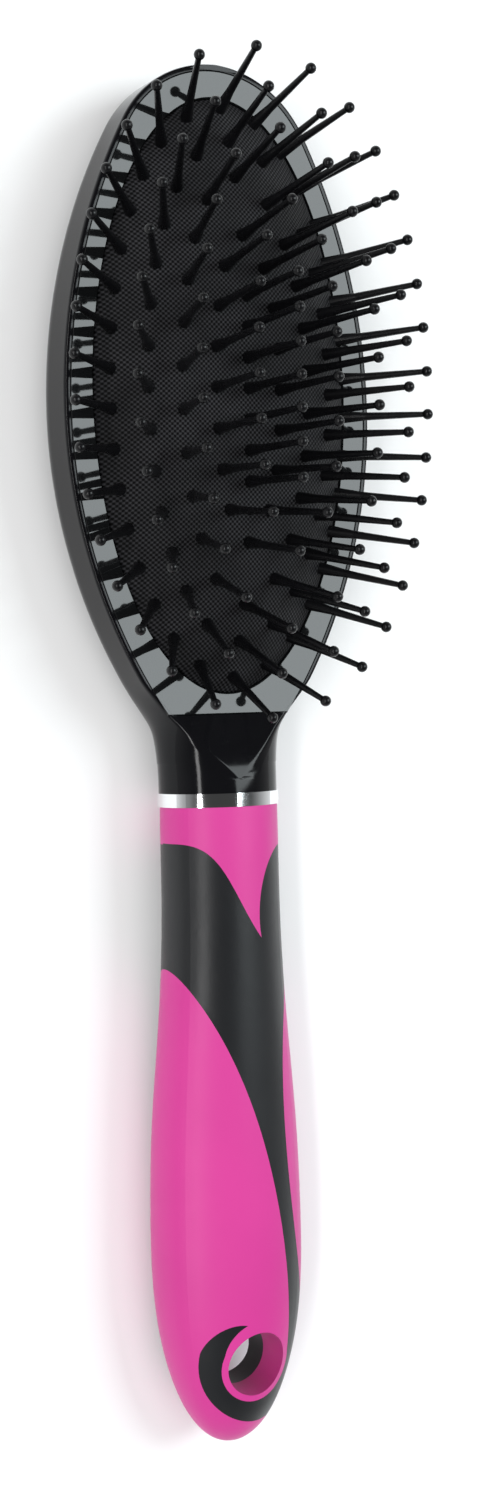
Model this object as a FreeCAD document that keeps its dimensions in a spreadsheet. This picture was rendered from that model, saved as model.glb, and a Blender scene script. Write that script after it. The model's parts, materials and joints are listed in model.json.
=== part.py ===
import FreeCAD, Part
import math
import os
import Sketcher

# Cushioned pin brush, lying on its back. Millimetres, +Z up through the pins,
# +X towards the head, symmetric left to right about the plane Y = 0.
# The origin is the centre of the bounding box's base.

Vector = FreeCAD.Vector
Placement = FreeCAD.Placement
Rotation = FreeCAD.Rotation
XY, XZ, YZ = "XY_Plane", "XZ_Plane", "YZ_Plane"

SIZES = {
    # head, seen from the front
    "head_end_x": 122.5,
    "head_wide_x": 62.5,
    "head_half_width": 30.0,
    "head_tip_radius": 20.0,
    "head_neck_x": 5.0,
    "head_neck_half": 10.2,
    "rim_z": 16.0,
    "dome_half_length": 78.0,
    "dome_half_width": 40.0,
    "dome_height": 19.7,
    # flat frame that clamps the cushion's bead
    "frame_inset": 1.0,
    "frame_depth": 1.8,
    "frame_end_x": 8.6,
    "frame_end_half": 10.2,
    "seat_gap": 0.05,
    # rubber cushion
    "cushion_x": 64.5,
    "cushion_half_length": 52.1,
    "cushion_half_width": 24.6,
    "cushion_rise": 9.9,
    "cushion_wall": 1.5,
    "bead_width": 1.9,
    "bead_depth": 1.4,
    "vent_x": 43.6,
    "vent_radius": 0.65,
    "pocket_floor_z": 7.0,
    # pins
    "pin_root_radius": 1.15,
    "pin_waist_radius": 0.72,
    "pin_waist_height": 5.0,
    "pin_neck_radius": 0.5,
    "pin_ball_radius": 0.95,
    "pin_flange_radius": 1.9,
    "pin_flange_depth": 0.7,
    "pin_flange_gap": 0.3,
    "pin_clearance": 0.05,
    # neck, tang and chrome ferrule
    "neck_z": 10.9,
    "neck_half_width": 11.0,
    "neck_half_depth": 8.8,
    "neck_swell_x": 16.0,
    "neck_keel_x": 34.0,
    "spigot_half_width": 9.6,
    "spigot_half_depth": 7.2,
    "scoop_foot_x": -3.2,
    "scoop_foot_z": 19.2,
    "ferrule_x": -7.6,
    "ferrule_width": 2.4,
    "ferrule_proud": 0.3,
    "tang_end_x": -70.0,
    "tang_width": 12.0,
    "tang_height": 7.0,
    "tang_end_gap": 0.5,
    # handle
    "handle_end_x": -122.75,
    "handle_wide_x": -87.0,
    "handle_top_half": 10.9,
    "handle_top_depth": 8.8,
    "handle_top_z": 11.1,
    "handle_wide_half": 14.25,
    "handle_wide_depth": 10.25,
    "inlay_depth": 1.4,
    "sleeve_wall": 2.6,
    "grip_split_z": 10.4,
    "hole_x": -107.1,
    "hole_y": -1.6,
    "hole_radius": 5.85,
    "hole_rim_radius": 7.0,
    "back_ring_radius": 8.2,
    "back_ring_top": 9.4,
}

# Pin rings from the edge of the cushion to its centre line:
# name, pins, ring centre x, half length, half width, pin length above the rubber.
RINGS = [
    ("outer", 34, 64.8, 49.4, 22.5, 17.2),
    ("second", 28, 64.7, 43.1, 17.3, 17.6),
    ("third", 22, 64.6, 36.7, 11.9, 18.7),
    ("inner", 16, 64.7, 26.3, 6.1, 19.4),
]
CENTRE_PINS = 7
CENTRE_FIRST_X = 48.8
CENTRE_PITCH = 5.3
CENTRE_PIN_LENGTH = 19.8
PIN_DRILL_LENGTH = 5.0
PIN_DRILL_DEPTH = 4.0
END_PINS = 1        # pins each side of the centre line that belong to a ring's end group

# The rubber's dome: how fast it falls away from its middle, and the shares of the way out
# at which its rings stand.
DOME_POWER = 3
DOME_RINGS = (1, 0.88, 0.75, 0.6, 0.45, 0.3, 0.15, 0.03)

# How the neck changes from the ferrule to the head's keel at each of its places: gain in
# half width, loss of half depth, drop of its centre.
NECK_CHANGES = ((0, 0, 0), (0, 0.5, 0.6), (0.8, 1.4, 2.0), (1.3, 2.3, 2.9))

# The handle's form: share of the way from the ring to the widest place, with how much of
# the swell is reached there, then shares of the way from the widest place to the tail.
HANDLE_SWELL = ((0, 0), (0.16, 0.02), (0.36, 0.14), (0.62, 0.62), (0.82, 0.93), (1, 1))
HANDLE_TAIL = (0.3, 0.55, 0.75, 0.9, 0.97, 0.995)
TAIL_POWER = 2.08   # how square the tail is; 2 is an ellipse
TIP_SHARE = 0.83    # end radius of an oval neck section against its half height
SECTION_ROUND = 0.93     # end radius of a handle section against the matching ellipse

OVERRUN = 20.0      # how far a cutting tool runs on past what it cuts
OVERLAP = 1.0       # how far fused pieces reach into each other

doc = FreeCAD.newDocument("pin_brush")
sheet = doc.addObject("Spreadsheet::Sheet", "dims")
for row, (alias, number) in enumerate(SIZES.items(), start=1):
    sheet.set("A%d" % row, alias)
    sheet.set("B%d" % row, str(number))
    sheet.setAlias("B%d" % row, alias)
doc.recompute()


class Size:
    """A length that carries its number and the sheet expression behind it."""

    def __init__(self, number, text):
        self.number = number
        self.text = text

    def combine(self, other, sign, number):
        text = other.text if isinstance(other, Size) else repr(float(other))
        return Size(number, "(%s %s %s)" % (self.text, sign, text))

    def __add__(self, other):
        return self.combine(other, "+", self.number + plain(other))

    def __sub__(self, other):
        return self.combine(other, "-", self.number - plain(other))

    def __mul__(self, other):
        return self.combine(other, "*", self.number * plain(other))


def plain(size):
    return size.number if isinstance(size, Size) else float(size)


def text_of(size):
    return size.text if isinstance(size, Size) else repr(float(size))


def dim(alias):
    return Size(float(sheet.get(alias)), "dims." + alias)


def bind(thing, prop, size):
    thing.setExpression(prop, text_of(size))


# ---------------------------------------------------------------- sketches

def new_body(label):
    body = doc.addObject("PartDesign::Body", label)
    body.Label = label
    return body


def new_sketch(body, name, role, offset=(0, 0, 0)):
    """A sketch on one of the body's own origin planes, moved by offset in that plane's axes."""
    plane = [f for f in body.Origin.OriginFeatures if f.Role == role][0]
    sketch = body.newObject("Sketcher::SketchObject", name)
    sketch.AttachmentSupport = [(plane, "")]
    sketch.MapMode = "FlatFace"
    sketch.AttachmentOffset = Placement(Vector(*[plain(v) for v in offset]), Rotation())
    for axis, size in zip("xyz", offset):
        bind(sketch, "AttachmentOffset.Base." + axis, size)
    return sketch


def hold(sketch, name, constraint, size):
    """Add one dimension and bind it to the sheet."""
    index = sketch.addConstraint(Sketcher.Constraint(*constraint, plain(size)))
    sketch.renameConstraint(index, name)
    bind(sketch, "Constraints." + name, size)


def relate(sketch, *constraint):
    sketch.addConstraint(Sketcher.Constraint(*constraint))


def arc(centre, radius, start, end):
    circle = Part.Circle(Vector(*centre, 0), Vector(0, 0, 1), radius)
    return Part.ArcOfCircle(circle, start, end)


def oval(body, name, role, half_length, half_width, tip_radius, offset=(0, 0, 0)):
    """A four-arc oval about the sketch's origin, long in the sketch's x."""
    a, b, r = plain(half_length), plain(half_width), plain(tip_radius)
    side = ((a - r) ** 2 + b * b - r * r) / (2 * (b - r))
    turn = math.atan2(side - b, a - r)
    sketch = new_sketch(body, name, role, offset)
    sketch.addGeometry(arc((a - r, 0), r, -turn, turn))
    sketch.addGeometry(arc((0, b - side), side, turn, math.pi - turn))
    sketch.addGeometry(arc((r - a, 0), r, math.pi - turn, math.pi + turn))
    sketch.addGeometry(arc((0, side - b), side, math.pi + turn, 2 * math.pi - turn))
    sketch.addGeometry(Part.Point(Vector(0, b, 0)), True)
    sketch.addGeometry(Part.Point(Vector(0, -b, 0)), True)
    for here, there in ((0, 1), (1, 2), (2, 3), (3, 0)):
        relate(sketch, "Tangent", here, 2, there, 1)
    for tip in (0, 2):
        relate(sketch, "PointOnObject", tip, 3, -1)
    for flank, mark in ((1, 4), (3, 5)):
        relate(sketch, "PointOnObject", mark, 1, -2)
        relate(sketch, "PointOnObject", mark, 1, flank)
    relate(sketch, "Equal", 0, 2)
    hold(sketch, "tip_radius", ("Radius", 0), tip_radius)
    reach = Size(a - r, "(%s - %s)" % (text_of(half_length), text_of(tip_radius)))
    hold(sketch, "reach_front", ("DistanceX", -1, 1, 0, 3), reach)
    hold(sketch, "reach_back", ("DistanceX", 2, 3, -1, 1), reach)
    hold(sketch, "half_top", ("DistanceY", -1, 1, 4, 1), half_width)
    hold(sketch, "half_base", ("DistanceY", 5, 1, -1, 1), half_width)
    return sketch


def polygon(body, name, role, corners, offset=(0, 0, 0)):
    """A closed straight-sided profile whose every corner is bound to the sheet."""
    sketch = new_sketch(body, name, role, offset)
    count = len(corners)
    points = [Vector(plain(x), plain(y), 0) for x, y in corners]
    for i in range(count):
        sketch.addGeometry(Part.LineSegment(points[i], points[(i + 1) % count]))
    for i in range(count):
        relate(sketch, "Coincident", i, 2, (i + 1) % count, 1)
    for i, (x, y) in enumerate(corners):
        hold(sketch, "x%d" % i, ("DistanceX", -1, 1, i, 1), x)
        hold(sketch, "y%d" % i, ("DistanceY", -1, 1, i, 1), y)
    return sketch


def head_outline(body, name, inset, end_x, end_half, offset):
    """The head's plan: a round tip, a flank that swells to the widest place, and a
    second flank that draws in to a straight end across the neck."""
    tip, wide = plain(dim("head_end_x")) - plain(inset), plain(dim("head_wide_x"))
    b, r = plain(dim("head_half_width")) - plain(inset), plain(dim("head_tip_radius")) - plain(inset)
    x_end, y_end = plain(end_x), plain(end_half)
    a = tip - wide
    front = ((a - r) ** 2 + b * b - r * r) / (2 * (b - r))
    turn = math.atan2(front - b, a - r)
    run, drop = wide - x_end, b - y_end
    back = (run * run + drop * drop) / (2 * drop)
    lean = math.atan2(run, back - drop)
    up, down = math.pi / 2, 3 * math.pi / 2
    sketch = new_sketch(body, name, XY, offset)
    sketch.addGeometry(arc((tip - r, 0), r, -turn, turn))
    sketch.addGeometry(arc((wide, b - front), front, turn, up))
    sketch.addGeometry(arc((wide, b - back), back, up, up + lean))
    sketch.addGeometry(Part.LineSegment(Vector(x_end, y_end, 0), Vector(x_end, -y_end, 0)))
    sketch.addGeometry(arc((wide, back - b), back, down - lean, down))
    sketch.addGeometry(arc((wide, front - b), front, down, 2 * math.pi - turn))
    for here, there in ((0, 1), (1, 2), (4, 5), (5, 0)):
        relate(sketch, "Tangent", here, 2, there, 1)
    relate(sketch, "Coincident", 2, 2, 3, 1)
    relate(sketch, "Coincident", 3, 2, 4, 1)
    relate(sketch, "PointOnObject", 0, 3, -1)
    relate(sketch, "Vertical", 1, 3, 1, 2)
    relate(sketch, "Vertical", 5, 3, 5, 1)
    wide_size = dim("head_half_width") - inset
    hold(sketch, "tip_radius", ("Radius", 0), dim("head_tip_radius") - inset)
    hold(sketch, "tip_centre", ("DistanceX", -1, 1, 0, 3), dim("head_end_x") - dim("head_tip_radius"))
    hold(sketch, "wide_left", ("DistanceX", -1, 1, 1, 2), dim("head_wide_x"))
    hold(sketch, "wide_right", ("DistanceX", -1, 1, 4, 2), dim("head_wide_x"))
    hold(sketch, "half_left", ("DistanceY", -1, 1, 1, 2), wide_size)
    hold(sketch, "half_right", ("DistanceY", 4, 2, -1, 1), wide_size)
    hold(sketch, "end_left", ("DistanceX", -1, 1, 2, 2), end_x)
    hold(sketch, "end_right", ("DistanceX", -1, 1, 4, 1), end_x)
    hold(sketch, "end_half_left", ("DistanceY", -1, 1, 2, 2), end_half)
    hold(sketch, "end_half_right", ("DistanceY", 4, 1, -1, 1), end_half)
    return sketch


# ---------------------------------------------------------------- features

def extrude(body, kind, sketch, length, reverse=False):
    feature = body.newObject("PartDesign::" + kind, kind + "_" + sketch.Name)
    feature.Profile = sketch
    bind(feature, "Length", length)
    feature.Reversed = reverse
    sketch.Visibility = False
    return feature


def loft(body, name, sections):
    feature = body.newObject("PartDesign::AdditiveLoft", name)
    feature.Profile = sections[0]
    feature.Sections = sections[1:]
    feature.Ruled = False
    return feature


def combine(kind, label, base, tool):
    result = doc.addObject("Part::" + kind, label)
    result.Label = label
    result.Base = base
    result.Tool = tool
    return result


def rod_z(label, x, y, z, radius, length):
    """A cylinder along the vertical, standing at x, y, z."""
    rod = doc.addObject("Part::Cylinder", label)
    rod.Label = label
    for prop, size in (("Radius", radius), ("Height", length), ("Placement.Base.x", x),
                       ("Placement.Base.y", y), ("Placement.Base.z", z)):
        bind(rod, prop, size)
    return rod


def box(label, corner, lengths):
    block = doc.addObject("Part::Box", label)
    block.Label = label
    for axis, size in zip("xyz", corner):
        bind(block, "Placement.Base." + axis, size)
    for prop, size in zip(("Length", "Width", "Height"), lengths):
        bind(block, prop, size)
    return block


def ellipse_post(label, half_length, half_width, low_z, height):
    """An upright elliptical post under the middle of the cushion."""
    curve = doc.addObject("Part::Ellipse", label + "_curve")
    bind(curve, "MajorRadius", half_length)
    bind(curve, "MinorRadius", half_width)
    bind(curve, "Placement.Base.x", dim("cushion_x"))
    bind(curve, "Placement.Base.z", low_z)
    post = doc.addObject("Part::Extrusion", label)
    post.Label = label
    post.Base = curve
    post.Dir = Vector(0, 0, 1)
    post.Solid = True
    bind(post, "LengthFwd", height)
    return post


def fixed_shape(label, shape):
    """A sub-part whose shape is made directly from sizes read from the sheet."""
    feature = doc.addObject("Part::Feature", label)
    feature.Label = label
    feature.Shape = shape
    return feature


# ---------------------------------------------------------------- handle form

def handle_stations():
    """Places along the handle: x, half width, half depth, centre height."""
    neck_x = dim("ferrule_x")
    wide_x, end_x = dim("handle_wide_x"), dim("handle_end_x")
    half, depth = dim("handle_wide_half"), dim("handle_wide_depth")
    top_half, top_depth, top_z = dim("handle_top_half"), dim("handle_top_depth"), dim("handle_top_z")
    run = wide_x - neck_x
    rows = []
    for share, swell in HANDLE_SWELL:
        rows.append((neck_x + run * share,
                     top_half + (half - top_half) * swell,
                     top_depth + (depth - top_depth) * swell,
                     top_z + (depth - top_z) * swell))
    tail = end_x - wide_x
    for share in HANDLE_TAIL:
        keep = (1 - share ** TAIL_POWER) ** (1 / TAIL_POWER)
        rows.append((wide_x + tail * share, half * keep, depth * keep, depth))
    return rows


def handle_form(label, inset):
    """The handle's outside, or the same form drawn in by inset."""
    body = new_body(label)
    sections = []
    for i, (x, half, depth, height) in enumerate(handle_stations()):
        shrink = plain(inset) / plain(dim("handle_wide_half"))
        scale = 1 - shrink
        wide = half * scale
        deep = depth * (1 - plain(inset) / plain(dim("handle_wide_depth")))
        place = x if i < len(HANDLE_SWELL) else dim("handle_wide_x") + (x - dim("handle_wide_x")) * scale
        tip = deep * (plain(deep) / plain(wide)) ** 0.5 * SECTION_ROUND
        sections.append(oval(body, "%s_%d" % (label, i), YZ, wide, deep, tip, (0, height, place)))
    loft(body, label + "_loft", sections)
    return body


# ---------------------------------------------------------------- head

def make_head():
    """Black shell: flat rim, domed back, neck with a scooped front, spigot and tang."""
    plan = new_body("head_plan")
    outline = head_outline(plan, "head_outline", zero, dim("head_neck_x"), dim("head_neck_half"),
                           (0, 0, dim("rim_z")))
    extrude(plan, "Pad", outline, dim("rim_z"), True)
    dome = doc.addObject("Part::Ellipsoid", "back_dome")
    bind(dome, "Radius1", dim("dome_height"))
    bind(dome, "Radius2", dim("dome_half_length"))
    bind(dome, "Radius3", dim("dome_half_width"))
    bind(dome, "Placement.Base.x", dim("cushion_x"))
    bind(dome, "Placement.Base.z", dim("dome_height"))
    domed = combine("Common", "head_domed", plan, dome)

    neck = new_body("neck")
    face_x = dim("ferrule_x") + dim("ferrule_width")
    half, depth, height = dim("neck_half_width"), dim("neck_half_depth"), dim("neck_z")
    places = (face_x, dim("head_neck_x"), dim("neck_swell_x"), dim("neck_keel_x"))
    sections = []
    for i, (x, (gain, loss, drop)) in enumerate(zip(places, NECK_CHANGES)):
        wide, deep = half + gain, depth - loss
        sections.append(oval(neck, "neck_%d" % i, YZ, wide, deep, deep * TIP_SHARE,
                             (0, height - drop, x)))
    loft(neck, "neck_loft", sections)

    spigot = new_body("spigot")
    stub = oval(spigot, "spigot_oval", YZ, dim("spigot_half_width"), dim("spigot_half_depth"),
                dim("spigot_half_depth") * TIP_SHARE, (0, dim("neck_z"), dim("ferrule_x")))
    extrude(spigot, "Pad", stub, dim("ferrule_width") + OVERLAP)
    tang = box("tang_bar", (dim("tang_end_x"), dim("tang_width") * -0.5,
                            dim("neck_z") - dim("tang_height") * 0.5),
               (dim("ferrule_x") - dim("tang_end_x") + OVERLAP, dim("tang_width"),
                dim("tang_height")))

    rim, end = dim("rim_z"), dim("frame_end_x")
    scoop = new_body("scoop")
    slope = polygon(scoop, "scoop_profile", XZ,
                    ((end, rim), (dim("head_end_x") + OVERRUN, rim),
                     (dim("head_end_x") + OVERRUN, rim + OVERRUN),
                     (dim("ferrule_x"), rim + OVERRUN),
                     (dim("scoop_foot_x"), dim("scoop_foot_z"))),
                    (0, 0, dim("head_half_width") * -1))
    extrude(scoop, "Pad", slope, dim("head_half_width") * 2)

    whole = combine("Fuse", "head_and_neck", domed, neck)
    whole = combine("Cut", "head_scooped", whole, scoop)
    whole = combine("Fuse", "head_spigot", whole, spigot)
    whole = combine("Fuse", "head_tang", whole, tang)

    length, width = dim("cushion_half_length"), dim("cushion_half_width")
    bead, drop = dim("bead_width"), dim("frame_depth")
    gap = dim("seat_gap")
    pocket = ellipse_post("pocket", length - bead, width - bead, dim("pocket_floor_z"), rim)
    bead_seat = ellipse_post("bead_seat", length + bead + gap, width + bead + gap,
                             rim - drop - dim("bead_depth"), rim)
    recess = new_body("frame_recess")
    lip = head_outline(recess, "recess_outline", dim("frame_inset") - gap, end - gap,
                       dim("frame_end_half") + gap, (0, 0, rim - drop))
    extrude(recess, "Pad", lip, drop * 2)
    for i, tool in enumerate((pocket, bead_seat, recess)):
        whole = combine("Cut", ("head_pocketed", "head_seated", "head_shell")[i], whole, tool)
    return whole


def make_frame():
    """Glossy flat frame, dropped into the head's recess over the cushion's bead."""
    plate = new_body("frame_plate")
    outline = head_outline(plate, "frame_outline", dim("frame_inset"), dim("frame_end_x"),
                           dim("frame_end_half"), (0, 0, dim("rim_z")))
    extrude(plate, "Pad", outline, dim("frame_depth"), True)
    opening = ellipse_post("frame_opening", dim("cushion_half_length"), dim("cushion_half_width"),
                           zero, dim("rim_z") * 2)
    return combine("Cut", "rim_frame", plate, opening)


# ---------------------------------------------------------------- cushion

def rise_at(share):
    """Height of the rubber above the rim at a share of the way out from its middle."""
    return size["cushion_rise"] * (1 - share ** DOME_POWER)


def dome(label, inset, low_z):
    """A solid dome over the cushion's oval, standing on a short upright skirt from low_z."""
    length, width = dim("cushion_half_length") - inset, dim("cushion_half_width") - inset
    rise, rim = dim("cushion_rise") + dim("seat_gap") - inset, dim("rim_z")
    rings = []
    for i, share in enumerate(DOME_RINGS):
        ring = doc.addObject("Part::Ellipse", "%s_ring_%d" % (label, i))
        bind(ring, "MajorRadius", length * share)
        bind(ring, "MinorRadius", width * share)
        bind(ring, "Placement.Base.x", dim("cushion_x"))
        bind(ring, "Placement.Base.z", rim + rise * (1 - share ** DOME_POWER))
        rings.append(ring)
    cap = doc.addObject("Part::Loft", label + "_cap")
    cap.Sections = rings
    cap.Solid = True
    skirt = ellipse_post(label + "_skirt", length, width, low_z, rim - low_z)
    return combine("Fuse", label, cap, skirt)


def make_cushion(stations):
    """Air cushion: domed membrane on a short skirt, with a bead under the frame, a hole
    for every pin and one small vent."""
    gap, wall = dim("seat_gap"), dim("cushion_wall")
    foot = dim("rim_z") - dim("frame_depth") - dim("bead_depth")
    outside = dome("cushion_outside", gap, foot)
    inside = dome("cushion_inside", wall + gap, foot - OVERLAP)
    bead = ellipse_post("bead_ring", dim("cushion_half_length") + dim("bead_width"),
                        dim("cushion_half_width") + dim("bead_width"), foot, dim("bead_depth"))
    rubber = combine("Fuse", "cushion_and_bead", outside, bead)
    rubber = combine("Cut", "cushion_hollow", rubber, inside)
    radius = size["pin_root_radius"] + size["pin_clearance"]
    drills = [Part.makeCylinder(radius, PIN_DRILL_LENGTH, place.multVec(Vector(0, 0, -PIN_DRILL_DEPTH)),
                                place.Rotation.multVec(Vector(0, 0, 1))) for place in stations]
    drills.append(Part.makeCylinder(size["vent_radius"], size["rim_z"],
                                    Vector(size["vent_x"], 0, size["rim_z"])))
    holes = fixed_shape("pin_holes", Part.makeCompound(drills))
    return combine("Cut", "cushion", rubber, holes)


# ---------------------------------------------------------------- pins

def pin_shape(label, length):
    """One pin, turned about the vertical: flange, root, tapering shaft and ball tip.
    Its origin is where it leaves the rubber."""
    body = new_body(label)
    sketch = new_sketch(body, label + "_profile", XZ)
    wall = size["cushion_wall"] + size["pin_flange_gap"]
    depth, root, waist = size["pin_flange_depth"], size["pin_root_radius"], size["pin_waist_radius"]
    neck, ball = size["pin_neck_radius"], size["pin_ball_radius"]
    flange, bend = size["pin_flange_radius"], size["pin_waist_height"]
    middle = length - ball
    join = middle - math.sqrt(ball * ball - neck * neck)
    corners = [(0, -wall - depth), (flange, -wall - depth), (flange, -wall), (root, -wall), (root, 0),
               (waist, bend), (neck, join)]
    points = [Vector(x, z, 0) for x, z in corners]
    for start, finish in zip(points, points[1:]):
        sketch.addGeometry(Part.LineSegment(start, finish))
    start = math.asin((join - middle) / ball)
    sketch.addGeometry(arc((0, middle), ball, start, math.pi / 2))
    sketch.addGeometry(Part.LineSegment(Vector(0, length, 0), points[0]))
    count = len(points) + 1
    for i in range(count):
        relate(sketch, "Coincident", i, 2, (i + 1) % count, 1)
    low = dim("cushion_wall") * -1 - dim("pin_flange_gap")
    bound = [(zero, low - dim("pin_flange_depth")),
             (dim("pin_flange_radius"), low - dim("pin_flange_depth")),
             (dim("pin_flange_radius"), low), (dim("pin_root_radius"), low),
             (dim("pin_root_radius"), zero), (dim("pin_waist_radius"), dim("pin_waist_height"))]
    for i, (x, z) in enumerate(bound):
        hold(sketch, "x%d" % i, ("DistanceX", -1, 1, i, 1), x)
        hold(sketch, "z%d" % i, ("DistanceY", -1, 1, i, 1), z)
    hold(sketch, "neck", ("DistanceX", -1, 1, 6, 1), dim("pin_neck_radius"))
    hold(sketch, "ball", ("Radius", 6), dim("pin_ball_radius"))
    relate(sketch, "PointOnObject", 6, 3, -2)
    relate(sketch, "PointOnObject", 6, 2, -2)
    hold(sketch, "length", ("DistanceY", -1, 1, 6, 3), dim("pin_ball_radius") * -1 + length)
    turn = body.newObject("PartDesign::Revolution", label + "_turn")
    turn.Profile = sketch
    turn.ReferenceAxis = (sketch, ["V_Axis"])
    turn.Angle = 360
    doc.recompute()
    return body.Shape


def pin_place(x, y):
    """Stand a pin square to the rubber at x, y."""
    a, b = size["cushion_half_length"], size["cushion_half_width"]
    u, v = (x - size["cushion_x"]) / a, y / b
    share = math.hypot(u, v)
    steep = DOME_POWER * size["cushion_rise"] * share ** (DOME_POWER - 2)
    normal = Vector(steep * u / a, steep * v / b, 1)
    height = size["rim_z"] + rise_at(share)
    return Placement(Vector(x, y, height), Rotation(Vector(0, 0, 1), normal))


def ring_places(count, centre, half_length, half_width):
    """Pins at equal steps round an oval, the first on the centre line at the head end."""
    fine = 3600
    marks, run = [0.0], 0.0
    spot = (half_length, 0.0)
    for i in range(1, fine + 1):
        angle = 2 * math.pi * i / fine
        here = (half_length * math.cos(angle), half_width * math.sin(angle))
        run += math.dist(spot, here)
        marks.append(run)
        spot = here
    places, at = [], 0
    for i in range(count):
        while marks[at] < run * i / count - 1e-9:
            at += 1
        angle = 2 * math.pi * at / fine
        places.append(pin_place(centre + half_length * math.cos(angle), half_width * math.sin(angle)))
    return places


def make_pins():
    """Every pin in its place; one node for each ring's two flanks and its two ends."""
    groups, everywhere = [], []
    for name, count, centre, half_length, half_width, length in RINGS:
        pin = pin_shape(name + "_pin", length)
        places = ring_places(count, centre, half_length, half_width)
        everywhere += places
        sides = {"head_end": [], "left": [], "right": [], "handle_end": []}
        for i, place in enumerate(places):
            step = min(i, count - i)
            if step <= END_PINS:
                side = "head_end"
            elif step >= count // 2 - END_PINS:
                side = "handle_end"
            else:
                side = "left" if i < count / 2 else "right"
            sides[side].append(place)
        for side, members in sides.items():
            groups.append(("%s_pins_%s" % (name, side), pin, members))
    pin = pin_shape("centre_pin", CENTRE_PIN_LENGTH)
    line = [pin_place(CENTRE_FIRST_X + CENTRE_PITCH * i, 0) for i in range(CENTRE_PINS)]
    groups.append(("centre_pins", pin, line))
    everywhere += line
    nodes = []
    for label, shape, places in groups:
        copies = []
        for place in places:
            copy = shape.copy()
            copy.Placement = place
            copies.append(copy)
        nodes.append(fixed_shape(label, Part.makeCompound(copies)))
    return nodes, everywhere


# ---------------------------------------------------------------- handle

def lines(*corners):
    points = [Vector(x, y, 0) for x, y in corners]
    return [Part.makeLine(here, there) for here, there in zip(points, points[1:])]


def arc_through(*points):
    return [Part.Arc(*[Vector(x, y, 0) for x, y in points]).toShape()]


def sweep(*poles):
    """One free curve from the first pole to the last, drawn towards the two between."""
    curve = Part.BezierCurve()
    curve.setPoles([Vector(x, y, 0) for x, y in poles])
    return [curve.toShape()]


def grip_regions():
    """Where the soft black grip shows: a swept stripe with a hooked tail on the front, and a
    long panel with a round end on the back, joined by a belt round the left flank. Each point
    is x, y in the handle's plan; left and right lie outside the handle."""
    left, right = OVERRUN, -OVERRUN
    belt_top, belt_low = -14, -35.4
    flank_top, flank_low = -15, -40.5
    tail_top, tail_low = -102, -118.5
    notch, stripe_foot = (-31, -3.7), (-107, -8.5)
    hook_crown, hook_tip, hook_root = (-104, 9), (-99.5, 1), (-106, 5)
    front = (lines((belt_top, left), (belt_top, 10.5))
             + sweep((belt_top, 10.5), (-14, 3.5), (-24, 2), notch)
             + sweep(notch, (-25, -2.5), (-17, -4.5), (flank_top, -9))
             + lines((flank_top, -9), (flank_top, right), (flank_low, right), (flank_low, -10.5))
             + sweep((flank_low, -10.5), (-58, -5.5), (-80, -9), (tail_top, -13.5))
             + lines((tail_top, -13.5), (tail_top, right), (tail_low, right), (tail_low, -4.5))
             + arc_through((tail_low, -4.5), (-114, 6), hook_crown)
             + arc_through(hook_crown, (-100.5, 6.5), hook_tip)
             + arc_through(hook_tip, (-102, 4), hook_root)
             + lines(hook_root, stripe_foot)
             + sweep(stripe_foot, (-85, -9), (-58, -3), (belt_low, 12))
             + lines((belt_low, 12), (belt_low, left), (belt_top, left)))
    back = (lines((belt_top, left), (flank_top, right), (flank_low, right), (flank_low, -9.5),
                  (-105, -9.5))
            + arc_through((-105, -9.5), (-114.5, 0), (-105, 9.5))
            + lines((-105, 9.5), (-48, 9.5))
            + sweep((-48, 9.5), (-42, 9.5), (-37, 10), (belt_low, 12.3))
            + lines((belt_low, 12.3), (belt_low, left), (belt_top, left)))
    return Part.Face(Part.Wire(front)), Part.Face(Part.Wire(back))


def make_handle():
    """Pink sleeve with the black grip let into it, over an inner core that holds the tang."""
    outer = handle_form("handle_outer", 0.0)
    under = handle_form("handle_under_grip", size["inlay_depth"])
    inner = handle_form("handle_inner", size["sleeve_wall"])
    gap, end_gap = dim("seat_gap"), dim("tang_end_gap")
    socket = box("tang_socket", (dim("tang_end_x") - end_gap, dim("tang_width") * -0.5 - gap,
                                 dim("neck_z") - dim("tang_height") * 0.5 - gap),
                 (dim("ferrule_x") - dim("tang_end_x") + end_gap, dim("tang_width") + gap * 2,
                  dim("tang_height") + gap * 2))
    x, y, tall = dim("hole_x"), dim("hole_y"), dim("neck_z") + OVERRUN * 2
    bore = rod_z("hole_bore", x, y, -OVERRUN, dim("hole_radius"), tall)
    liner = rod_z("hole_liner", x, y, -OVERRUN, dim("hole_rim_radius"), tall)
    back_ring = rod_z("hole_back_ring", x, y, -OVERRUN, dim("back_ring_radius"),
                      dim("back_ring_top") + OVERRUN)
    doc.recompute()
    split = size["grip_split_z"]
    front, back = grip_regions()
    front_post = front.extrude(Vector(0, 0, OVERRUN))
    front_post.translate(Vector(0, 0, split))
    back_post = back.extrude(Vector(0, 0, -OVERRUN))
    back_post.translate(Vector(0, 0, split))
    skin = outer.Shape.cut(under.Shape)
    ring = outer.Shape.common(back_ring.Shape)
    grip = skin.common(front_post).cut(liner.Shape).fuse(skin.common(back_post)).fuse(ring)
    grip = grip.cut(bore.Shape).removeSplitter()
    core = inner.Shape.cut(liner.Shape).cut(ring).cut(socket.Shape)
    sleeve = outer.Shape.cut(core.cut(ring)).cut(socket.Shape).cut(grip).cut(bore.Shape)
    return [fixed_shape("grip_overmould", grip), fixed_shape("handle_core", core),
            fixed_shape("handle_sleeve", sleeve)]


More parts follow.
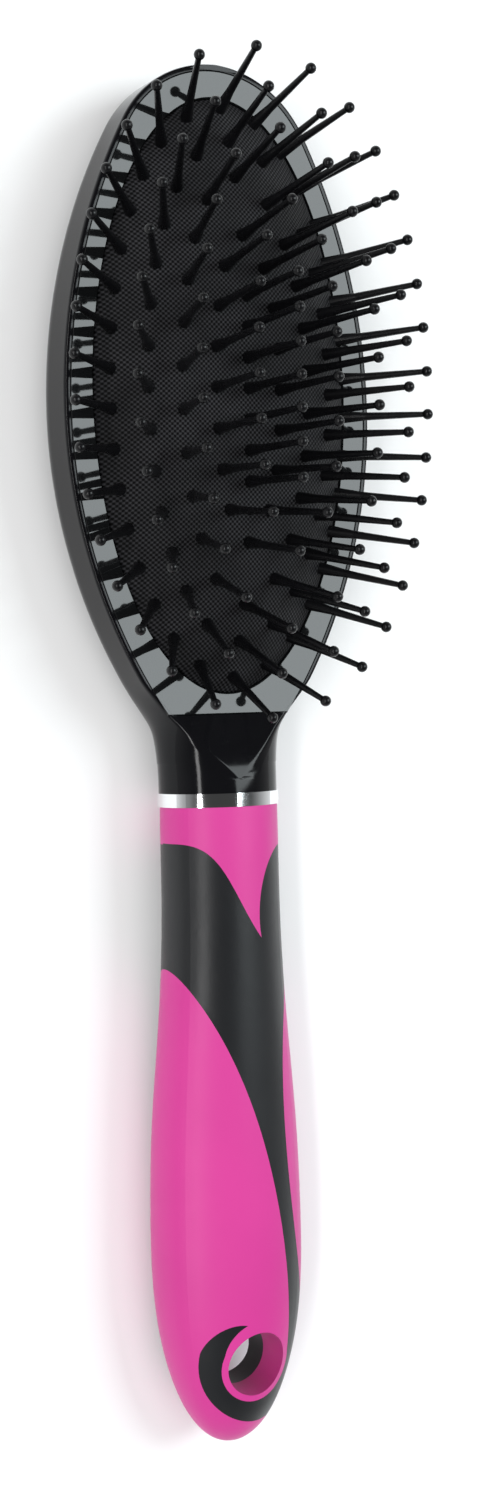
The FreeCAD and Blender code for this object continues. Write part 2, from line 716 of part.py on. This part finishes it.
def make_ferrule():
    """Thin bright ring between head and handle, on the spigot."""
    ring = new_body("ferrule")
    proud = dim("ferrule_proud")
    place = (0, dim("neck_z"), dim("ferrule_x"))
    half, depth = dim("neck_half_width") + proud, dim("neck_half_depth") + proud
    outside = oval(ring, "ferrule_outside", YZ, half, depth, depth * TIP_SHARE, place)
    extrude(ring, "Pad", outside, dim("ferrule_width"))
    inside = oval(ring, "ferrule_inside", YZ, dim("spigot_half_width"), dim("spigot_half_depth"),
                  dim("spigot_half_depth") * TIP_SHARE, place)
    extrude(ring, "Pocket", inside, dim("ferrule_width"), True)
    return ring


# ---------------------------------------------------------------- build and write

zero = Size(0.0, "0")
size = {alias: float(sheet.get(alias)) for alias in SIZES}

pin_nodes, pin_places = make_pins()
nodes = [make_head(), make_frame(), make_cushion(pin_places), make_ferrule()] + make_handle() + pin_nodes
doc.recompute()

for thing in doc.Objects:
    if "Invalid" in thing.State or "Error" in thing.State:
        raise RuntimeError("%s failed: %s" % (thing.Label, thing.State))

os.makedirs("parts", exist_ok=True)
whole = Part.makeCompound([node.Shape for node in nodes])
for node in nodes:
    shape = node.Shape
    if shape.isNull() or not shape.isValid() or not shape.Solids:
        raise RuntimeError("%s has no valid solid" % node.Label)
    shape.exportStep("parts/%s.step" % node.Label)
    print("%-26s %3d solids %10.1f mm3" % (node.Label, len(shape.Solids), shape.Volume))
print("nodes", len(nodes), "box", whole.optimalBoundingBox(False))
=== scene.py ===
import json
import math

import bmesh
import bpy
from mathutils import Matrix, Vector, kdtree


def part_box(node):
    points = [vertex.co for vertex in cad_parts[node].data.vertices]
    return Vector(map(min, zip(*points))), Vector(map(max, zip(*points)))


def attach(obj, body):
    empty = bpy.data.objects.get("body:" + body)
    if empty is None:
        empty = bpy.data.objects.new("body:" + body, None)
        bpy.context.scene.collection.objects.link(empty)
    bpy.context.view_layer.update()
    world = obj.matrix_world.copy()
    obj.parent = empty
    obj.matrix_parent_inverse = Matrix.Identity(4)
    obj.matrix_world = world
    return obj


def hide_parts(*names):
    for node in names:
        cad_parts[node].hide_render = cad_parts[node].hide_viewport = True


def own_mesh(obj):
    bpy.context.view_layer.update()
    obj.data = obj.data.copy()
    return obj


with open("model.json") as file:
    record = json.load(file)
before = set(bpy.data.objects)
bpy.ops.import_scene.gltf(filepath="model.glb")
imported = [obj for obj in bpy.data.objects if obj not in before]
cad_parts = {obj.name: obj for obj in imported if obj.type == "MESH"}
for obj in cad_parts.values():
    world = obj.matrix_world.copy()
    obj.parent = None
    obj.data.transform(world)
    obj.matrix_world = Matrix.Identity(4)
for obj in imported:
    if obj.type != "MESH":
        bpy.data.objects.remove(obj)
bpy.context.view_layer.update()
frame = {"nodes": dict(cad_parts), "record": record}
MM = 0.001

# ------------------------------------------------------------ sizes taken from the frame

_, head_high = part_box("head_shell")
frame_low, frame_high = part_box("rim_frame")
cushion_low, cushion_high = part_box("cushion")
_, ferrule_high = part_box("ferrule")

rim_z = frame_high.z
frame_depth = frame_high.z - frame_low.z
head_tip_x = head_high.x
head_half = head_high.y
neck_face_x = ferrule_high.x
cushion_x = (cushion_low.x + cushion_high.x) / 2
crease_x = frame_low.x

# the bead under the frame is this much wider than the cushion itself
bead_width = 1.9 * MM
rubber_wall = 1.5 * MM
cushion_a = (cushion_high.x - cushion_low.x) / 2 - bead_width
cushion_b = cushion_high.y - bead_width
cushion_rise = cushion_high.z - rim_z
vent_x = 43.6 * MM
vent_radius = 0.65 * MM

# the head's plan and depth
head_wide_x = 62.5 * MM
tip_radius = 20.0 * MM
neck_join = Vector((5.0 * MM, 10.2 * MM))
frame_inset = 1.0 * MM
wall_foot = rim_z - 7 * MM
pocket_floor_z = 7 * MM
belly_lift = 2.0 * MM
belly_power = 2.5
rim_edge = 0.7 * MM
clear_above = 100 * MM
hair = 0.02 * MM        # offset that puts two sections side by side at a sharp step

# the neck: its section at the ferrule, where it ends under the head, and how it changes
neck_half = 11.0 * MM
neck_depth = 8.8 * MM
neck_z = 10.9 * MM
neck_end_x = 34 * MM
neck_widens, neck_thins, neck_drops = 1.3 * MM, 2.3 * MM, 2.9 * MM
neck_blend = 1.4 * MM
round_from_x, round_full_x = 15 * MM, -1 * MM
ramp_foot = 1.5 * MM    # gap between the scoop's top and the ferrule

# steps in the skins
edge_steps, side_steps, flat_steps = 8, 40, 7
neck_stations, face_stations, tip_stations = 60, 150, 8


# ------------------------------------------------------------ small tools

def smoothstep(low, high, value):
    share = min(1.0, max(0.0, (value - low) / (high - low)))
    return share * share * (3 - 2 * share)


def mix(first, second, share):
    return first + (second - first) * share


def new_object(name, bm, material, body="root", sharp=None):
    """Turn a bmesh into a shaded piece that rides on a body."""
    bmesh.ops.remove_doubles(bm, verts=bm.verts, dist=1e-6)
    bmesh.ops.dissolve_degenerate(bm, edges=bm.edges, dist=1e-7)
    bmesh.ops.recalc_face_normals(bm, faces=bm.faces)
    mesh = bpy.data.meshes.new(name)
    bm.to_mesh(mesh)
    bm.free()
    for face in mesh.polygons:
        face.use_smooth = True
    if sharp is not None:
        mesh.set_sharp_from_angle(angle=math.radians(sharp))
    piece = bpy.data.objects.new(name, mesh)
    bpy.context.scene.collection.objects.link(piece)
    mesh.materials.append(material)
    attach(piece, body)
    return piece


def skin_loops(bm, loops, closed_ends=True):
    """Quads between neighbouring closed loops of the same number of points."""
    rows = [[bm.verts.new(point) for point in loop] for loop in loops]
    count = len(rows[0])
    for here, there in zip(rows, rows[1:]):
        for i in range(count):
            j = (i + 1) % count
            bm.faces.new((here[i], here[j], there[j], there[i]))
    if closed_ends:
        bm.faces.new(rows[0])
        bm.faces.new(list(reversed(rows[-1])))
    return rows


# ------------------------------------------------------------ materials

def material(name, colour, roughness, metallic=0.0):
    """A node material with its main shader's own values set."""
    mat = bpy.data.materials.new(name)
    mat.use_nodes = True
    shader = mat.node_tree.nodes["Principled BSDF"]
    shader.inputs["Base Color"].default_value = (*colour, 1)
    shader.inputs["Roughness"].default_value = roughness
    shader.inputs["Metallic"].default_value = metallic
    return mat, mat.node_tree, shader


def add(tree, kind, **values):
    """A new node, with its settings and input values given by name."""
    node = tree.nodes.new(kind)
    for key, value in values.items():
        if hasattr(node, key):
            setattr(node, key, value)
        else:
            node.inputs[key.replace("_", " ").title()].default_value = value
    return node


def mottle(tree, shader, colour, amount, scale):
    """Slight colour variation over the surface, at the given scale."""
    coords = add(tree, "ShaderNodeTexCoord")
    noise = add(tree, "ShaderNodeTexNoise", Scale=scale, Detail=4)
    tree.links.new(coords.outputs["Object"], noise.inputs["Vector"])
    ramp = add(tree, "ShaderNodeValToRGB")
    low, high = ramp.color_ramp.elements
    low.position, high.position = 0.3, 0.7
    low.color = (*[channel * (1 - amount) for channel in colour], 1)
    high.color = (*[min(1, channel * (1 + amount)) for channel in colour], 1)
    tree.links.new(noise.outputs["Fac"], ramp.inputs["Fac"])
    tree.links.new(ramp.outputs["Color"], shader.inputs["Base Color"])
    return coords


def bumped(tree, shader, height, strength, distance):
    """Let a texture raise and lower the shaded surface."""
    bump = add(tree, "ShaderNodeBump")
    bump.inputs["Strength"].default_value = strength
    bump.inputs["Distance"].default_value = distance
    tree.links.new(height, bump.inputs["Height"])
    tree.links.new(bump.outputs["Normal"], shader.inputs["Normal"])


def rough_range(tree, shader, source, low, high):
    """Let a texture swing the roughness between two values."""
    spread = add(tree, "ShaderNodeMapRange")
    spread.inputs["To Min"].default_value = low
    spread.inputs["To Max"].default_value = high
    tree.links.new(source, spread.inputs["Value"])
    tree.links.new(spread.outputs["Result"], shader.inputs["Roughness"])


def gloss_black(name, colour, rough_low, rough_high, specular):
    """Injection-moulded gloss plastic with faint flow marks and a trace of dust and wear."""
    mat, tree, shader = material(name, colour, rough_low)
    coords = mottle(tree, shader, colour, 0.25, 60)
    fine = add(tree, "ShaderNodeTexNoise", Scale=900.0, Detail=3.0)
    tree.links.new(coords.outputs["Object"], fine.inputs["Vector"])
    rough_range(tree, shader, fine.outputs["Fac"], rough_low, rough_high)
    shader.inputs["Specular IOR Level"].default_value = specular
    return mat


def soft_touch(name, colour, roughness, variation, sheen, specular):
    """Matt overmoulded elastomer: fine sandblasted grain and a soft edge sheen."""
    mat, tree, shader = material(name, colour, roughness)
    coords = mottle(tree, shader, colour, variation, 35)
    grain = add(tree, "ShaderNodeTexNoise", Scale=4200.0, Detail=2.0)
    tree.links.new(coords.outputs["Object"], grain.inputs["Vector"])
    bumped(tree, shader, grain.outputs["Fac"], 0.25, 0.00005)
    cloud = add(tree, "ShaderNodeTexNoise", Scale=90.0, Detail=3.0)
    tree.links.new(coords.outputs["Object"], cloud.inputs["Vector"])
    rough_range(tree, shader, cloud.outputs["Fac"], roughness - 0.05, roughness + 0.06)
    shader.inputs["Sheen Weight"].default_value = sheen
    shader.inputs["Sheen Roughness"].default_value = 0.45
    shader.inputs["Specular IOR Level"].default_value = specular
    return mat


def woven_rubber(name, pitch):
    """Dark rubber whose surface carries the print of a fine woven cloth, with painted shade in
    the weave's hollows and painted highlight on its raised threads.
    """
    colour = (0.017, 0.017, 0.0175)
    mat, tree, shader = material(name, colour, 0.55)
    coords = add(tree, "ShaderNodeTexCoord")
    split = add(tree, "ShaderNodeSeparateXYZ")
    tree.links.new(coords.outputs["Object"], split.inputs["Vector"])
    waves = []
    for axis in "XY":
        scale = add(tree, "ShaderNodeMath", operation="MULTIPLY")
        scale.inputs[1].default_value = 2 * math.pi / pitch
        tree.links.new(split.outputs[axis], scale.inputs[0])
        wave = add(tree, "ShaderNodeMath", operation="SINE")
        tree.links.new(scale.outputs["Value"], wave.inputs[0])
        waves.append(wave)
    knot = add(tree, "ShaderNodeMath", operation="MULTIPLY")
    tree.links.new(waves[0].outputs["Value"], knot.inputs[0])
    tree.links.new(waves[1].outputs["Value"], knot.inputs[1])
    half = add(tree, "ShaderNodeMapRange")
    half.inputs["From Min"].default_value = -1
    tree.links.new(knot.outputs["Value"], half.inputs["Value"])
    # painted shade and highlight: the weave's hollows are painted near black and its raised
    # threads lighter, following the bump's height
    ramp = add(tree, "ShaderNodeValToRGB")
    low, high = ramp.color_ramp.elements
    low.position, high.position = 0.3, 0.85
    low.color, high.color = (0.001, 0.001, 0.0013, 1), (0.032, 0.032, 0.035, 1)
    tree.links.new(half.outputs["Result"], ramp.inputs["Fac"])
    # random lighter and darker patches over the rubber, scaling its colour by 0.55 to 1.3
    cloud = add(tree, "ShaderNodeTexNoise", Scale=75.0, Detail=3.0)
    tree.links.new(coords.outputs["Object"], cloud.inputs["Vector"])
    patchy_tone = add(tree, "ShaderNodeMapRange")
    patchy_tone.inputs["From Min"].default_value, patchy_tone.inputs["From Max"].default_value = 0.3, 0.7
    patchy_tone.inputs["To Min"].default_value, patchy_tone.inputs["To Max"].default_value = 0.55, 1.3
    tree.links.new(cloud.outputs["Fac"], patchy_tone.inputs["Value"])
    shade = add(tree, "ShaderNodeVectorMath", operation="SCALE")
    tree.links.new(ramp.outputs["Color"], shade.inputs[0])
    tree.links.new(patchy_tone.outputs["Result"], shade.inputs["Scale"])
    tree.links.new(shade.outputs["Vector"], shader.inputs["Base Color"])
    bumped(tree, shader, half.outputs["Result"], 0.9, 0.00014)
    rough_range(tree, shader, half.outputs["Result"], 0.7, 0.48)
    shader.inputs["Specular IOR Level"].default_value = 0.14
    return mat


def polished_chrome(name):
    """Bright plated metal with hair-fine rings from polishing."""
    mat, tree, shader = material(name, (0.86, 0.87, 0.88), 0.06, 1.0)
    coords = add(tree, "ShaderNodeTexCoord")
    stretch = add(tree, "ShaderNodeMapping")
    stretch.inputs["Scale"].default_value = (30, 1, 1)
    tree.links.new(coords.outputs["Object"], stretch.inputs["Vector"])
    hair = add(tree, "ShaderNodeTexNoise", Scale=300.0, Detail=2.0)
    tree.links.new(stretch.outputs["Vector"], hair.inputs["Vector"])
    rough_range(tree, shader, hair.outputs["Fac"], 0.04, 0.12)
    return mat


head_black = gloss_black("head_gloss", (0.0045, 0.0045, 0.0055), 0.08, 0.13, 0.2)
frame_black = gloss_black("frame_gloss", (0.006, 0.0065, 0.007), 0.03, 0.05, 0.45)
pin_black = gloss_black("pin_satin", (0.0035, 0.0035, 0.0042), 0.24, 0.32, 0.3)
cushion_black = woven_rubber("cushion_weave", 0.85 * MM)
sleeve_pink = soft_touch("sleeve_soft", (0.60, 0.040, 0.275), 0.42, 0.04, 0.06, 0.35)
grip_black = soft_touch("grip_soft", (0.010, 0.0105, 0.012), 0.36, 0.12, 0.03, 0.42)
core_plain = soft_touch("core_plain", (0.05, 0.05, 0.05), 0.5, 0.1, 0.0, 0.4)
chrome = polished_chrome("ferrule_polished")

for node, finish in (("handle_sleeve", sleeve_pink), ("grip_overmould", grip_black),
                     ("handle_core", core_plain), ("ferrule", chrome)):
    for place in frame["nodes"][node].material_slots:
        place.material = finish
for body, members in frame["record"]["behaviour"]["bodies"].items():
    if body != "root":
        for node in members:
            for place in frame["nodes"][node].material_slots:
                place.material = pin_black


# ------------------------------------------------------------ head shell

def outline_half(x, inset=0.0):
    """Half width of the head's plan at x, drawn in by inset."""
    tip, wide = head_tip_x - inset, head_half - inset
    radius = tip_radius - inset
    reach = tip - head_wide_x
    front = ((reach - radius) ** 2 + wide ** 2 - radius ** 2) / (2 * (wide - radius))
    join = head_wide_x + front * (reach - radius) / (front - radius)
    run, drop = head_wide_x - neck_join.x, wide - (neck_join.y - inset)
    back = (run * run + drop * drop) / (2 * drop)
    if x >= tip:
        return 0.0
    if x > join:
        return math.sqrt(max(0, radius ** 2 - (x - tip + radius) ** 2))
    if x > head_wide_x:
        return wide - front + math.sqrt(front ** 2 - (x - head_wide_x) ** 2)
    return wide - back + math.sqrt(max(0, back ** 2 - (x - head_wide_x) ** 2))


def ellipse_half(x, a, b):
    share = (x - cushion_x) / a
    return b * math.sqrt(max(0.0, 1 - share * share))


def belly_depth(x):
    """Lowest point of the head's back at x."""
    if x > cushion_x:
        share = min(1.0, (x - cushion_x) / (head_tip_x - cushion_x))
        return wall_foot * (1 - (1 - share ** belly_power) ** (1 / belly_power))
    return belly_lift * smoothstep(cushion_x, neck_face_x, x)


def soft_max(first, second, width):
    """The larger of two values, with the change from one to the other rounded off."""
    return (first + second + math.hypot(first - second, width)) / 2


def neck_outline(x):
    """The neck's own half width, half depth and middle height at x."""
    grow = smoothstep(neck_face_x, neck_end_x, x)
    return (neck_half + neck_widens * grow, neck_depth - neck_thins * grow,
            neck_z - neck_drops * grow)


def neck_share(x):
    """0 where the section is the head's own, 1 where it is the neck's oval."""
    return smoothstep(round_from_x, round_full_x, x)


def side_half(x, z):
    """Half width of the head or neck at x and height z, before the front is cut flat."""
    half, low = outline_half(x), belly_depth(x)
    round_half, depth, middle = neck_outline(x)
    if x < neck_end_x:
        half = soft_max(half, round_half, neck_blend)
    drop = min(1.0, max(0.0, wall_foot - z) / max(1e-6, wall_foot - low))
    boxy = half * max(0.0, 1 - drop ** belly_power) ** (1 / belly_power)
    swell = min(1.0, abs(z - middle) / depth)
    oval = (half if x > 0 else round_half) * math.sqrt(1 - swell * swell)
    return mix(boxy, oval, neck_share(x))


def front_height(x):
    """Height of the front: the flat rim, then a scooped ramp up to the round of the neck."""
    if x >= crease_x:
        return rim_z
    climb = min(1.0, (crease_x - x) / (crease_x - neck_face_x - ramp_foot))
    return mix(rim_z, neck_z + neck_depth, 1.25 * climb - 0.25 * climb ** 5)


def head_section(x):
    """One side of the head's section at x, from the middle of the front round to the
    middle of the back, as (y, z) pairs."""
    _, depth, middle = neck_outline(x)
    round_share = neck_share(x)
    crown = mix(clear_above, middle + depth, round_share)
    top, low = min(front_height(x), crown), mix(belly_depth(x), middle - depth, round_share)
    half = side_half(x, top)
    edge = min(rim_edge, half * 0.5)
    flat = half - edge
    shape = []
    if crease_x < x < head_tip_x - frame_inset:
        recess = min(outline_half(x, frame_inset) + 2 * hair, flat - hair)
        ledge = rim_z - frame_depth
        seat = min(ellipse_half(x, cushion_a + bead_width, cushion_b + bead_width),
                   recess - 10 * hair)
        seat = max(seat, 0.0)
        seat_z = cushion_low.z if seat > 0 else ledge
        pocket = min(ellipse_half(x, cushion_a - bead_width, cushion_b - bead_width), seat)
        floor = pocket_floor_z if pocket > 0 else seat_z
        shape += [(0.0, floor), (pocket, floor), (pocket, seat_z), (seat, seat_z)]
        shape += [(seat, ledge), (recess, ledge), (recess, rim_z)]
    else:
        for step in range(flat_steps):
            shape.append((flat * step / flat_steps, top))
    side = (side_half(x, top - edge), top - edge)
    for step in range(edge_steps + 1):
        share = step / edge_steps
        y = (1 - share) ** 2 * flat + 2 * share * (1 - share) * half + share ** 2 * side[0]
        z = (1 - share) ** 2 * top + 2 * share * (1 - share) * top + share ** 2 * side[1]
        shape.append((y, z))
    for step in range(1, side_steps + 1):
        z = mix(side[1], min(low, side[1]), (1 - math.cos(math.pi * step / side_steps)) / 2)
        shape.append((side_half(x, z), z))
    shape[-1] = (0.0, low)
    return shape


def head_stations():
    """Places along the head, closer together at the neck, the crease and the tip."""
    places = []
    for i in range(neck_stations + 1):
        places.append(mix(neck_face_x, crease_x - hair, i / neck_stations))
    places.append(crease_x + hair)
    end = head_tip_x - frame_inset
    for i in range(1, face_stations + 1):
        share = math.sin(math.pi / 2 * i / face_stations)
        places.append(mix(crease_x, end - hair, share))
    places.append(end + hair)
    for i in range(1, tip_stations + 1):
        places.append(mix(end, head_tip_x, math.sin(math.pi / 2 * i / tip_stations)))
    return sorted(set(places))


def make_head():
    """The head and neck as one closed smooth skin over the sections."""
    bm = bmesh.new()
    loops = []
    for x in head_stations():
        side = head_section(x)
        loop = [Vector((x, y, z)) for y, z in side]
        loop += [Vector((x, -y, z)) for y, z in reversed(side[1:-1])]
        loops.append(loop)
    skin_loops(bm, loops)
    head = new_object("head_shell_moulded", bm, head_black, sharp=50)
    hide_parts("head_shell")


# ------------------------------------------------------------ rim frame

def make_frame():
    """Flat gloss band between the head's outline and the cushion, edges eased."""
    bm = bmesh.new()
    count, ease = 360, 0.25 * MM
    beyond_head, halvings = 80 * MM, 40
    outer, inner = [], []
    corner = math.atan2(outline_half(crease_x + hair / 2, frame_inset), crease_x - cushion_x)
    angles = [2 * math.pi * i / count for i in range(count)] + [corner, 2 * math.pi - corner]
    angles.sort()
    for angle in angles:
        ray = Vector((math.cos(angle), math.sin(angle)))
        low, high = 0.0, beyond_head
        for _ in range(halvings):
            reach = (low + high) / 2
            x, y = cushion_x + ray.x * reach, abs(ray.y * reach)
            inside = crease_x < x < head_tip_x - frame_inset and y < outline_half(x, frame_inset)
            low, high = (reach, high) if inside else (low, reach)
        outer.append(Vector((cushion_x + ray.x * low, ray.y * low, 0)))
        radius = 1 / math.hypot(ray.x / cushion_a, ray.y / cushion_b)
        inner.append(Vector((cushion_x + ray.x * radius, ray.y * radius, 0)))
    levels = ((inner, 0, frame_low.z), (inner, 0, rim_z - ease), (inner, ease, rim_z),
              (outer, -ease, rim_z), (outer, 0, rim_z - ease), (outer, 0, frame_low.z))
    middle = Vector((cushion_x, 0, 0))
    loops = []
    for ring, shift, z in levels:
        loop = []
        for point in ring:
            away = (point - middle).normalized()
            place = point + away * shift
            loop.append(Vector((place.x, place.y, z)))
        loops.append(loop)
    rows = skin_loops(bm, loops, closed_ends=False)
    for i in range(len(angles)):
        j = (i + 1) % len(angles)
        bm.faces.new((rows[-1][i], rows[-1][j], rows[0][j], rows[0][i]))
    band = new_object("rim_frame_polished", bm, frame_black, sharp=30)
    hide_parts("rim_frame")


# ------------------------------------------------------------ cushion

def pin_islands(mesh):
    """The separate pins in one node, each as a list of its points."""
    bm = bmesh.new()
    bm.from_mesh(mesh)
    bmesh.ops.remove_doubles(bm, verts=bm.verts, dist=1e-6)
    seen, islands = set(), []
    for start in bm.verts:
        if start in seen:
            continue
        stack, island = [start], []
        seen.add(start)
        while stack:
            vert = stack.pop()
            island.append(vert.co.copy())
            for edge in vert.link_edges:
                other = edge.other_vert(vert)
                if other not in seen:
                    seen.add(other)
                    stack.append(other)
        islands.append(island)
    bm.free()
    return islands


def pin_roots():
    """Where the axis of each pin comes out of the rubber."""
    flange_share, ball_share, flange_to_root = 0.11, 0.92, 2.2 * MM
    roots = []
    for body, members in frame["record"]["behaviour"]["bodies"].items():
        for node in members if body != "root" else ():
            holder = frame["nodes"][node]
            for island in pin_islands(holder.data):
                points = [holder.matrix_world @ point for point in island]
                low, high = min(points, key=lambda p: p.z), max(points, key=lambda p: p.z)
                along = (high - low).normalized()
                reach = (high - low).length
                foot = [p for p in points if (p - low).dot(along) < flange_share * reach]
                ball = [p for p in points if (p - low).dot(along) > ball_share * reach]
                start, end = sum(foot, Vector()) / len(foot), sum(ball, Vector()) / len(ball)
                roots.append(start + (end - start).normalized() * flange_to_root)
    return roots


def skin_height(share):
    """Height of the rubber at a share of the way out from its middle."""
    return rim_z + cushion_rise * (1 - share ** 3)


def swell_round_pins(bm, height, spread):
    """Lift the skin into a small soft collar round every pin."""
    tops = [vert for vert in bm.verts if vert.co.z > rim_z - 0.5 * MM]
    tree = kdtree.KDTree(len(tops))
    for i, vert in enumerate(tops):
        tree.insert(vert.co, i)
    tree.balance()
    lift = {}
    for root in pin_roots():
        for _, i, away in tree.find_range(root, 3 * spread):
            rise = height * math.exp(-(away / spread) ** 2)
            lift[i] = max(lift.get(i, 0.0), rise)
    for i, rise in lift.items():
        tops[i].co.z += rise


def cut_vent(skin):
    """Pierce the small air hole near the handle end of the rubber."""
    bm = bmesh.new()
    length, middle = 12 * MM, Matrix.Translation((vent_x, 0, rim_z + 8 * MM))
    bmesh.ops.create_cone(bm, segments=24, radius1=vent_radius, radius2=vent_radius,
                          depth=length, cap_ends=True, matrix=middle)
    mesh = bpy.data.meshes.new("vent_drill")
    bm.to_mesh(mesh)
    bm.free()
    drill = bpy.data.objects.new("vent_drill", mesh)
    bpy.context.scene.collection.objects.link(drill)
    cut = skin.modifiers.new("vent", "BOOLEAN")
    cut.operation, cut.solver, cut.object = "DIFFERENCE", "EXACT", drill
    bpy.context.view_layer.update()
    whole = skin.evaluated_get(bpy.context.evaluated_depsgraph_get())
    pierced = bpy.data.meshes.new_from_object(whole)
    skin.modifiers.clear()
    skin.data = pierced
    bpy.data.objects.remove(drill)
    bpy.data.meshes.remove(mesh)


def make_cushion():
    """Domed rubber skin with a rounded edge where it meets the frame, a bead clamped under
    the frame, and an inside, so that it has a real thickness."""
    bm = bmesh.new()
    around, out, crowding = 384, 90, 1.15
    wall, gap, edge, edge_drop = rubber_wall, 0.15 * MM, 0.9 * MM, 0.5 * MM
    lift, bead_clear, bead_ease = 0.2 * MM, 0.03 * MM, 0.3 * MM
    loops = []
    for i in range(1, out + 1):
        share = 1 - (1 - i / out) ** crowding
        roll = max(0.0, share - 1 + edge / cushion_b) * cushion_b / edge
        z = skin_height(share) + lift - edge_drop * roll ** 2
        loops.append((cushion_a - gap, cushion_b - gap, share, z))
    under = [(cushion_a - wall, cushion_b - wall, share, z - wall)
             for _, _, share, z in loops[::6] + loops[-1:]]
    bead_top, foot = rim_z - frame_depth - bead_clear, cushion_low.z + bead_clear
    for grow, z in ((-gap, bead_top), (bead_width - bead_ease, bead_top),
                    (bead_width, bead_top - bead_ease), (bead_width, foot), (-wall, foot)):
        loops.append((cushion_a + grow, cushion_b + grow, 1, z))
    loops += list(reversed(under))
    turns = [2 * math.pi * k / around for k in range(around)]
    rings = []
    for a, b, share, z in loops:
        rings.append([Vector((cushion_x + a * share * math.cos(turn),
                              b * share * math.sin(turn), z)) for turn in turns])
    rows = skin_loops(bm, rings, closed_ends=False)
    crown = skin_height(0) + lift
    top, low = bm.verts.new((cushion_x, 0, crown)), bm.verts.new((cushion_x, 0, crown - wall))
    for i in range(around):
        j = (i + 1) % around
        bm.faces.new((top, rows[0][j], rows[0][i]))
        bm.faces.new((low, rows[-1][i], rows[-1][j]))
    swell_round_pins(bm, 0.45 * MM, 1.35 * MM)
    skin = new_object("cushion_woven", bm, cushion_black, sharp=60)
    cut_vent(skin)
    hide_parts("cushion")
    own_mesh(skin)


make_head()
make_frame()
make_cushion()


# ------------------------------------------------------------ studio and camera

def make_floor():
    """A wide plain floor under the brush."""
    bm = bmesh.new()
    bmesh.ops.create_grid(bm, x_segments=2, y_segments=2, size=12.0)
    mesh = bpy.data.meshes.new("floor")
    bm.to_mesh(mesh)
    bm.free()
    floor = bpy.data.objects.new("floor", mesh)
    bpy.context.scene.collection.objects.link(floor)
    mat, tree, shader = material("floor_white", (0.93, 0.93, 0.93), 0.9)
    shader.inputs["Specular IOR Level"].default_value = 0.0
    mesh.materials.append(mat)


def soft_light(name, place, aim, width, height, power):
    """A rectangular area light that stands at place and faces aim."""
    data = bpy.data.lights.new(name, "AREA")
    data.shape = "RECTANGLE"
    data.size, data.size_y, data.energy = width, height, power
    lamp = bpy.data.objects.new(name, data)
    bpy.context.scene.collection.objects.link(lamp)
    lamp.location = place
    lamp.rotation_euler = (Vector(aim) - Vector(place)).to_track_quat("-Z", "Y").to_euler()
    return lamp


def make_lights():
    """A pale surround that darkens upwards, two softboxes and an even overhead fill."""
    world = bpy.data.worlds.new("studio")
    bpy.context.scene.world = world
    world.use_nodes = True
    tree = world.node_tree
    backdrop = tree.nodes["Background"]
    coords = add(tree, "ShaderNodeTexCoord")
    split = add(tree, "ShaderNodeSeparateXYZ")
    tree.links.new(coords.outputs["Generated"], split.inputs["Vector"])
    ramp = add(tree, "ShaderNodeValToRGB")
    low, high = ramp.color_ramp.elements
    low.position, high.position = 0.0, 0.7
    low.color, high.color = (0.75, 0.76, 0.77, 1), (0.05, 0.05, 0.05, 1)
    tree.links.new(split.outputs["Z"], ramp.inputs["Fac"])
    tree.links.new(ramp.outputs["Color"], backdrop.inputs["Color"])
    bpy.context.scene.view_settings.view_transform = "Standard"
    rim = soft_light("rim_softbox", (0.22, -0.6, 0.9), (0.065, 0, 0.016), 0.5, 0.62, 6.6)
    rim.data.color = (0.92, 1.0, 1.02)
    soft_light("key_strip", (0.0, 0.8, 0.95), (0, 0, 0), 1.3, 0.12, 6)
    fill = bpy.data.lights.new("overhead_fill", "SUN")
    fill.energy, fill.angle = 1.5, math.radians(70)
    lamp = bpy.data.objects.new("overhead_fill", fill)
    bpy.context.scene.collection.objects.link(lamp)
    lamp.rotation_euler = (math.radians(-18), math.radians(-4), 0)
    lamp.visible_glossy = False


def make_camera():
    """Long lens over the brush's left side, with the head at the top of the picture."""
    tilt, pitch, roll = math.radians(27.6), math.radians(1.8), math.radians(1.3)
    level = Matrix(((0, -1, 0), (1, 0, 0), (0, 0, 1)))
    turn = Matrix.Rotation(roll, 3, "Z") @ Matrix.Rotation(pitch, 3, "X")
    view = (turn @ Matrix.Rotation(tilt, 3, "Y") @ level).transposed()
    data = bpy.data.cameras.new("camera")
    camera = bpy.data.objects.new("camera", data)
    bpy.context.scene.collection.objects.link(camera)
    data.sensor_width = 36.0
    data.lens = 52.8
    data.clip_start = 0.01
    aim, distance = Vector((2.2, -2.2, 16.6)) * MM, 0.390
    stand = aim + view @ Vector((0, 0, distance))
    camera.matrix_world = Matrix.Translation(stand) @ view.to_4x4()
    bpy.context.scene.camera = camera


make_floor()
make_lights()
make_camera()
